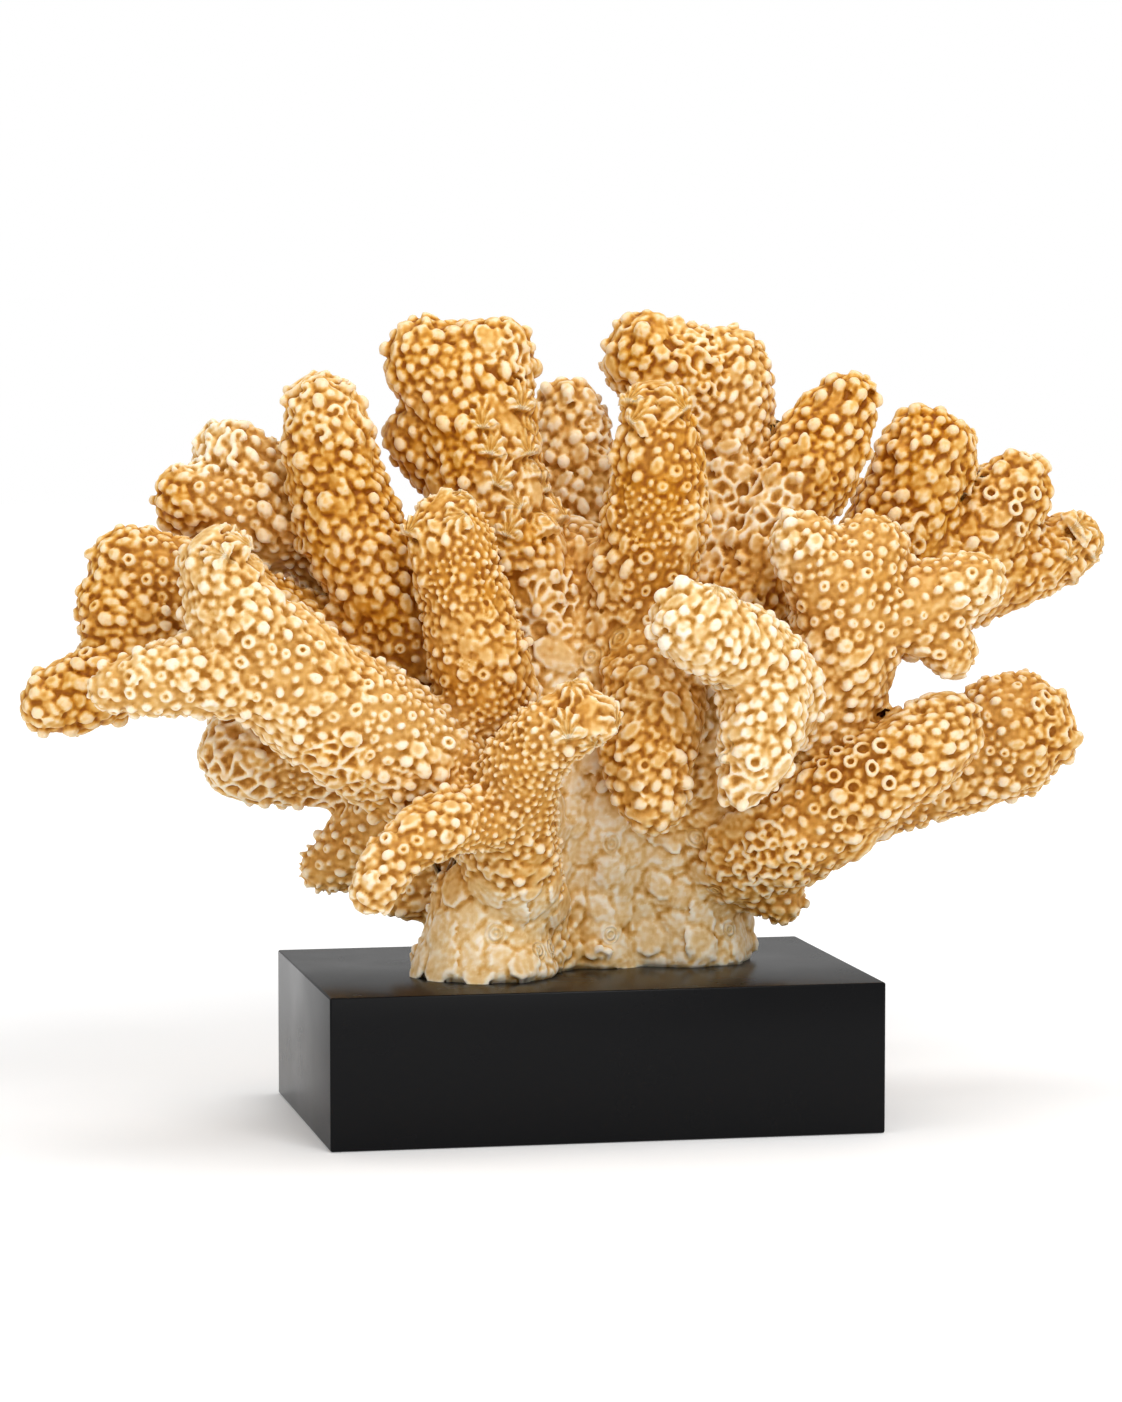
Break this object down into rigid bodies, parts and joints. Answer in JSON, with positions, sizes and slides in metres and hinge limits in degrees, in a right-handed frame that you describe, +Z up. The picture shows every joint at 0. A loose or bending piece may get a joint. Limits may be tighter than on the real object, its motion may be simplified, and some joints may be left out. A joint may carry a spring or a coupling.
{
  "type": "branching coral on stand block",
  "caption": "Branching coral with stubby fingers and palm-shaped paws, cut flat at its foot and standing on a black rectangular block.",
  "frame": {"origin": "centre of the stand block's underside", "axes": "+X right along the block's length, -Y towards the viewer, +Z up"},
  "size_m": [0.4944, 0.1792, 0.3479],
  "materials": {
    "pale_coral": "matte",
    "honey_coral": "satin",
    "amber_coral": "satin",
    "black_lacquer": "satin lacquer"
  },
  "bodies": {
    "root": {"stand_block": "black_lacquer", "coral_trunk": "pale_coral", "left_paw": "honey_coral", "rear_left_paw": "amber_coral", "left_tall_finger": "amber_coral", "upper_left_branch": "pale_coral", "centre_left_stub": "honey_coral", "left_club": "honey_coral", "back_finger": "pale_coral", "centre_finger": "honey_coral", "right_club": "honey_coral", "right_paw": "pale_coral", "slanted_finger": "amber_coral", "right_knob": "amber_coral", "outer_right_knob": "honey_coral", "outer_right_finger": "amber_coral", "front_hook": "pale_coral", "front_ridge": "honey_coral", "front_fork": "honey_coral", "lower_left_finger": "honey_coral", "lower_left_lump": "honey_coral", "lower_right_finger": "honey_coral", "right_paddle": "amber_coral"}
  },
  "joints": []
}
